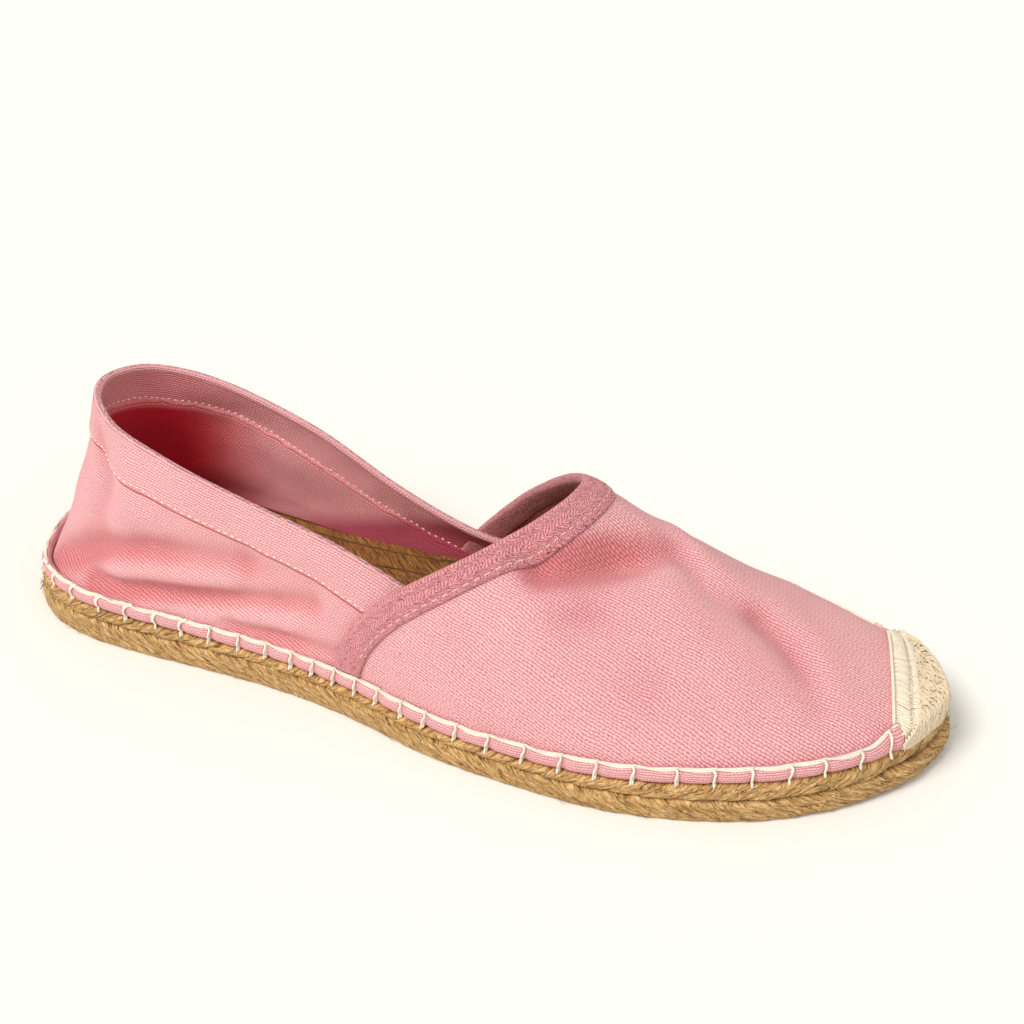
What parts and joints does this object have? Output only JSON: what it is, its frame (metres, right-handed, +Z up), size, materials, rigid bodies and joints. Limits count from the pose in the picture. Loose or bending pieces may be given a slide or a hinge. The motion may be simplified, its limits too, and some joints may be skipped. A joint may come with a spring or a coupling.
{
  "type": "espadrille",
  "caption": "Flat slip-on canvas espadrille for the right foot, with a low open collar, a taped throat, a coiled jute braid sole and a thread-wrapped toe.",
  "frame": {"origin": "on the floor, under the middle of the shoe's box", "axes": "+X towards the toe, +Y towards the inner (big toe) side, +Z up"},
  "size_m": [0.25, 0.09, 0.0618],
  "materials": {
    "jute": "coiled and stitched jute braid, matt and fibrous",
    "canvas": "pink cotton canvas in plain weave, matt",
    "twill_tape": "pink herringbone twill tape, folded over the edge",
    "cotton_thread": "undyed cotton thread, wrapped and stitched"
  },
  "bodies": {
    "root": {"jute_sole": "jute", "upper": "canvas", "throat_tape": "twill_tape", "toe_cap": "cotton_thread"}
  },
  "joints": []
}
